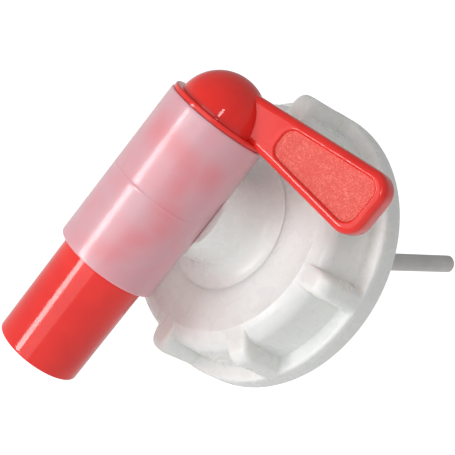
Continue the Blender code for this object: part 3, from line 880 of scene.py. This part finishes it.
def raiseSeals(bm):
    radius = plug["radius"]
    low, high = body["snapGrooveZ"] + 1.2 * mm, body["top"] - 1.0 * mm
    for vert in bm.verts:
        reach = math.hypot(vert.co.x, vert.co.y)
        if abs(reach - radius) > 0.001 * mm or not low < vert.co.z < high:
            continue
        factor = 1 + sealShape(math.atan2(vert.co.y, vert.co.x), vert.co.z) / radius
        vert.co.x *= factor
        vert.co.y *= factor


lever = {
    "start": -1.0 * mm,  # hidden inside the dome
    "startCorner": 3.0 * mm,
    "rootAt": 4.0 * mm,  # where the sizes below are taken
    "length": 45.8 * mm,
    "topStart": 31.6 * mm,
    "topRise": 0.142,
    "footStart": 22.2 * mm,
    "footFall": 0.05,
    "corner": 5.0 * mm,
    "rootThickness": 5.4 * mm,
    "tipThickness": 7.4 * mm,
    "edgeRound": 1.7 * mm,
    "panelStart": 16.9 * mm,
    "panelMargin": 2.3 * mm,
    "panelEnd": 43.2 * mm,
    "panelCorner": 3.2 * mm,
    "panelStartCorner": 3.0 * mm,
    "panelDepth": 0.8 * mm,
    "panelRim": 0.55 * mm,
    "panelFloorRim": 0.25 * mm,
    "flareStart": 6.0 * mm,  # the sides spread a little towards the dome
    "flareEnd": 15.0 * mm,
    "flare": 0.25 * mm,
    "half": 3.2 * mm,  # half thickness while it is being shaped
}


def leverTop(x):
    return lever["topStart"] + lever["topRise"] * (x - lever["rootAt"])


def leverFoot(x):
    return lever["footStart"] - lever["footFall"] * (x - lever["rootAt"])


def leverHalf(x):
    share = (x - lever["rootAt"]) / (lever["length"] - lever["rootAt"])
    thick = (lever["rootThickness"] + (lever["tipThickness"] - lever["rootThickness"]) * share) / 2
    near = min(1.0, max(0.0, (lever["flareEnd"] - x) / (lever["flareEnd"] - lever["flareStart"])))
    return thick + lever["flare"] * near * near


def leverLoop(start, end, margin, corner, startCorner):
    # points (x, z) round the lever, with the same count for its rim and for its panel
    up = math.degrees(math.atan(lever["topRise"]))
    down = math.degrees(math.atan(lever["footFall"]))

    def cornerArc(x, atTop, radius, first, last):
        z = leverTop(x) - margin - radius if atTop else leverFoot(x) + margin + radius
        return arcPoints((x, z), (radius, radius), first, last, 12)

    low = cornerArc(end - corner, False, corner, -90 - down, 0)
    high = cornerArc(end - corner, True, corner, 0, 90 + up)
    topStart = cornerArc(start + startCorner, True, startCorner, 90 + up, 180)
    footStart = cornerArc(start + startCorner, False, startCorner, 180, 270 - down)
    points = []
    sides = ((low, high, 10), (high, topStart, 24), (topStart, footStart, 8), (footStart, low, 24))
    for arc, following, steps in sides:
        points += arc
        points += linePoints(arc[-1], following[0], steps)[:-1]
    return points


def roundEdges(bm, edges, offset, segments):
    bmesh.ops.bevel(
        bm, geom=edges, offset=offset, offset_type="OFFSET", segments=segments, profile=0.5,
        affect="EDGES", material=-1,
    )


def buildLever():
    half = lever["half"]
    bm = bmesh.new()
    rim = leverLoop(lever["start"], lever["length"], 0.0, lever["corner"], lever["startCorner"])
    panelSizes = [lever[size] for size in ("panelStart", "panelEnd", "panelMargin", "panelCorner")]
    panel = leverLoop(*panelSizes, lever["panelStartCorner"])
    loops = []
    for points in (rim, panel):
        verts = [bm.verts.new((x, half, z)) for x, z in points]
        loops.append([bm.edges.new(pair) for pair in zip(verts, verts[1:] + verts[:1])])
    bmesh.ops.bridge_loops(bm, edges=loops[0] + loops[1])
    floor = bmesh.ops.edgeloop_fill(bm, edges=loops[1])["faces"]
    bmesh.ops.recalc_face_normals(bm, faces=bm.faces)

    # side wall down to the middle plane
    wall = bmesh.ops.extrude_edge_only(bm, edges=loops[0])["geom"]
    foot = [item for item in wall if isinstance(item, bmesh.types.BMVert)]
    for vert in foot:
        vert.co.y = 0.0
    # the panel sinks
    moved = bmesh.ops.extrude_face_region(bm, geom=floor)["geom"]
    floorVerts = [item for item in moved if isinstance(item, bmesh.types.BMVert)]
    bmesh.ops.delete(bm, geom=floor, context="FACES_ONLY")
    for vert in floorVerts:
        vert.co.y -= lever["panelDepth"]
    for item in moved:
        if isinstance(item, bmesh.types.BMFace):
            item.material_index = 1  # grained panel

    def creasesAt(y):
        found = []
        for edge in bm.edges:
            level = all(abs(vert.co.y - y) < 1e-7 for vert in edge.verts)
            if level and len(edge.link_faces) == 2:
                normals = [face.normal for face in edge.link_faces]
                if normals[0].angle(normals[1]) > 1.0:
                    found.append(edge)
        return found

    bm.normal_update()
    top = creasesAt(half)
    middleX = (lever["panelStart"] + lever["panelEnd"]) / 2
    middleZ = (leverTop(middleX) + leverFoot(middleX)) / 2
    inner = [e for e in top if insidePanel(e, middleX, middleZ)]
    outer = [e for e in top if not insidePanel(e, middleX, middleZ)]
    roundEdges(bm, outer, lever["edgeRound"], 7)
    roundEdges(bm, [e for e in inner if e.is_valid], lever["panelRim"], 5)
    bm.normal_update()
    base = creasesAt(half - lever["panelDepth"])
    roundEdges(bm, base, lever["panelFloorRim"], 3)
    bm.normal_update()
    return bm


def insidePanel(edge, middleX, middleZ):
    middle = (edge.verts[0].co + edge.verts[1].co) / 2
    x, z = middle.x, middle.z
    inX = lever["panelStart"] - 0.1 * mm < x < lever["panelEnd"] + 0.1 * mm
    inZ = leverFoot(x) + 0.8 * lever["panelMargin"] < z < leverTop(x) - 0.8 * lever["panelMargin"]
    return inX and inZ


def shapeSides(bm):
    # thickness of the lever along its length
    for vert in bm.verts:
        vert.co.y *= leverHalf(vert.co.x) / lever["half"]


def densify(bm):
    # more rows across the flat field round the panel, so that it can bend
    field = []
    for edge in bm.edges:
        if len(edge.link_faces) == 2 and all(face.normal.y > 0.9999 for face in edge.link_faces):
            field.append(edge)
    bmesh.ops.subdivide_edges(bm, edges=field, cuts=20, use_grid_fill=True)


def buildPlug():
    columns = plug["columns"]
    bm = spunShape(plugProfile(), "Z", columns, False)
    raiseSeals(bm)
    piece = makeObject("redPlug", bm, glossyRedPlastic(), grainedRedPlastic())

    blade = buildLever()
    densify(blade)
    everything = blade.verts[:] + blade.edges[:] + blade.faces[:]
    bmesh.ops.mirror(blade, geom=everything, axis="Y", merge_dist=0.001 * mm)
    shapeSides(blade)

    innerDome = plug["domeRadius"] - plug["domeWall"]
    chamberFloor = plug["ductTop"] + plug["ductWall"]
    chamber = [(0.0, chamberFloor), (plug["bore"], chamberFloor), (plug["bore"], body["top"])]
    chamber += arcPoints((0.0, plug["domeZ"]), (innerDome, innerDome), 0, 90, 24)
    chamber[-1] = (0.0, plug["domeZ"] + innerDome)

    mouth, lower = plug["spoutEndZ"] - 2.0 * mm, plug["bore"] - 0.1 * mm
    flow = roundRod(lower, (0, 0, mouth), (0, 0, chamberFloor + 0.2 * mm), 128)
    sliceOff(flow, (plug["ductWall"] - plug["ductChord"], 0, 0), (-1, 0, 0))
    duct = roundRod(lower, (0, 0, mouth), (0, 0, plug["ductTop"]), 128)
    sliceOff(duct, (-plug["ductChord"], 0, 0), (1, 0, 0))
    outside = -plug["radius"] - 2.0 * mm
    port = roundRod(plug["portRadius"], (outside, 0, plug["portZ"]), (-4.0 * mm, 0, plug["portZ"]), 96)
    vent = roundRod(
        body["ventRadius"], (outside, 0, body["ventZ"]), (-plug["ductChord"] - 1.0 * mm, 0, body["ventZ"]), 32
    )
    combineShapes(
        piece,
        [
            ("UNION", blade),
            ("DIFFERENCE", spunShape(chamber, "Z", 128, False)),
            ("DIFFERENCE", flow),
            ("DIFFERENCE", duct),
            ("DIFFERENCE", port),
            ("DIFFERENCE", vent),
        ],
    )
    piece.data.transform(Matrix.Translation(barrelAxis) @ Matrix.Rotation(plug["turn"], 4, "Z"))
    return placePiece(piece, "plug", "valve_plug")


buildCap()
buildGasket()
buildTapBody()
buildNeckRing()
buildAirTube()
buildPlug()
print("pieces built")

studio = {
    "floorZ": -0.42,
    "floorRadius": 5.0,
    "coveRadius": 1.5,
    "wallTop": 4.0,
    "glow": 0.8,
    "below": 0.82,  # brightness of the surroundings under and above the horizon
    "above": 0.42,
    # softboxes: name, direction, distance, width and height, watts, roll in degrees
    "lights": [
        ("stripLight", (-0.10, -0.95, -0.29), 0.6, (0.09, 0.34), 1.1, 36),
        ("thinStripLight", (0.05, -0.95, -0.36), 0.6, (0.025, 0.26), 0.12, 36),
        ("fillLight", (0.25, -0.93, -0.25), 0.9, (0.7, 0.7), 1.9, 0),
        ("cameraLight", (0.62, -0.66, 0.34), 0.6, (0.045, 0.22), 0.45, 0),
    ],
}

viewpoint = {
    "lens": 101.86,
    "sensor": 36.0,
    "place": Vector((220.43, -236.85, 61.71)) * mm,
    "right": Vector((0.48702, 0.62494, 0.61014)),
    "up": Vector((-0.55639, -0.31650, 0.76828)),
}


def buildStudio():
    # a pale round floor that curves up into a wall
    floorZ, cove, reach = studio["floorZ"], studio["coveRadius"], studio["floorRadius"]
    profile = [(0.0, floorZ), (reach, floorZ)]
    profile += arcPoints((reach, floorZ + cove), (cove, cove), -90, 0, 12)[1:]
    profile.append((reach + cove, studio["wallTop"]))
    bm = spunShape(profile, "Z", 96, False)
    bmesh.ops.reverse_faces(bm, faces=bm.faces)
    mesh = bpy.data.meshes.new("studioFloor")
    bm.to_mesh(mesh)
    bm.free()
    mesh.shade_smooth()
    floor = bpy.data.objects.new("studioFloor", mesh)
    bpy.context.scene.collection.objects.link(floor)
    material = bpy.data.materials.new("paleFloor")
    material.use_nodes = True
    shader = material.node_tree.nodes["Principled BSDF"]
    shader.inputs["Base Color"].default_value = (0.9, 0.9, 0.9, 1.0)
    shader.inputs["Roughness"].default_value = 0.9
    shader.inputs["Emission Color"].default_value = (1.0, 1.0, 1.0, 1.0)
    shader.inputs["Emission Strength"].default_value = studio["glow"]
    mesh.materials.append(material)
    floor.visible_diffuse = False  # the surroundings light the piece, not the glowing floor
    floor.visible_glossy = False
    floor.visible_transmission = False

    world = bpy.data.worlds.new("studioWorld")
    bpy.context.scene.world = world
    world.use_nodes = True
    background = world.node_tree.nodes["Background"]
    background.inputs["Color"].default_value = (1.0, 1.0, 1.0, 1.0)
    direction = addNode(world, "ShaderNodeTexCoord").outputs["Generated"]
    height = addNode(world, "ShaderNodeSeparateXYZ", {"Vector": direction}).outputs["Z"]
    strength = rangeValue(world, height, -0.1, 0.3, studio["below"], studio["above"])
    world.node_tree.links.new(strength, background.inputs["Strength"])


def addSoftLight(name, direction, distance, size, power, roll):
    # a rectangular softbox that faces the middle of the object
    target = Vector((0.0, -20 * mm, 0.0))
    light = bpy.data.lights.new(name, "AREA")
    light.shape = "RECTANGLE"
    light.size, light.size_y = size
    light.energy = power
    obj = bpy.data.objects.new(name, light)
    bpy.context.scene.collection.objects.link(obj)
    direction = Vector(direction).normalized()
    obj.location = target + direction * distance
    back = direction
    right = Vector((0, 0, 1)).cross(back).normalized()
    up = back.cross(right)
    turn = Matrix((right, up, back)).transposed().to_4x4() @ Matrix.Rotation(math.radians(roll), 4, "Z")
    obj.matrix_world = Matrix.Translation(obj.location) @ turn
    return obj


def addCamera():
    right = viewpoint["right"]
    back = right.cross(viewpoint["up"]).normalized()
    up = back.cross(right).normalized()
    camera = bpy.data.cameras.new("productCamera")
    camera.lens = viewpoint["lens"]
    camera.sensor_width = viewpoint["sensor"]
    camera.clip_start, camera.clip_end = 0.01, 50.0
    obj = bpy.data.objects.new("productCamera", camera)
    bpy.context.scene.collection.objects.link(obj)
    turn = Matrix((right, up, back)).transposed().to_4x4()
    obj.matrix_world = Matrix.Translation(viewpoint["place"]) @ turn
    bpy.context.scene.camera = obj


buildStudio()
for light in studio["lights"]:
    addSoftLight(*light)
addCamera()
bpy.context.scene.view_settings.view_transform = "Standard"
print("studio built")
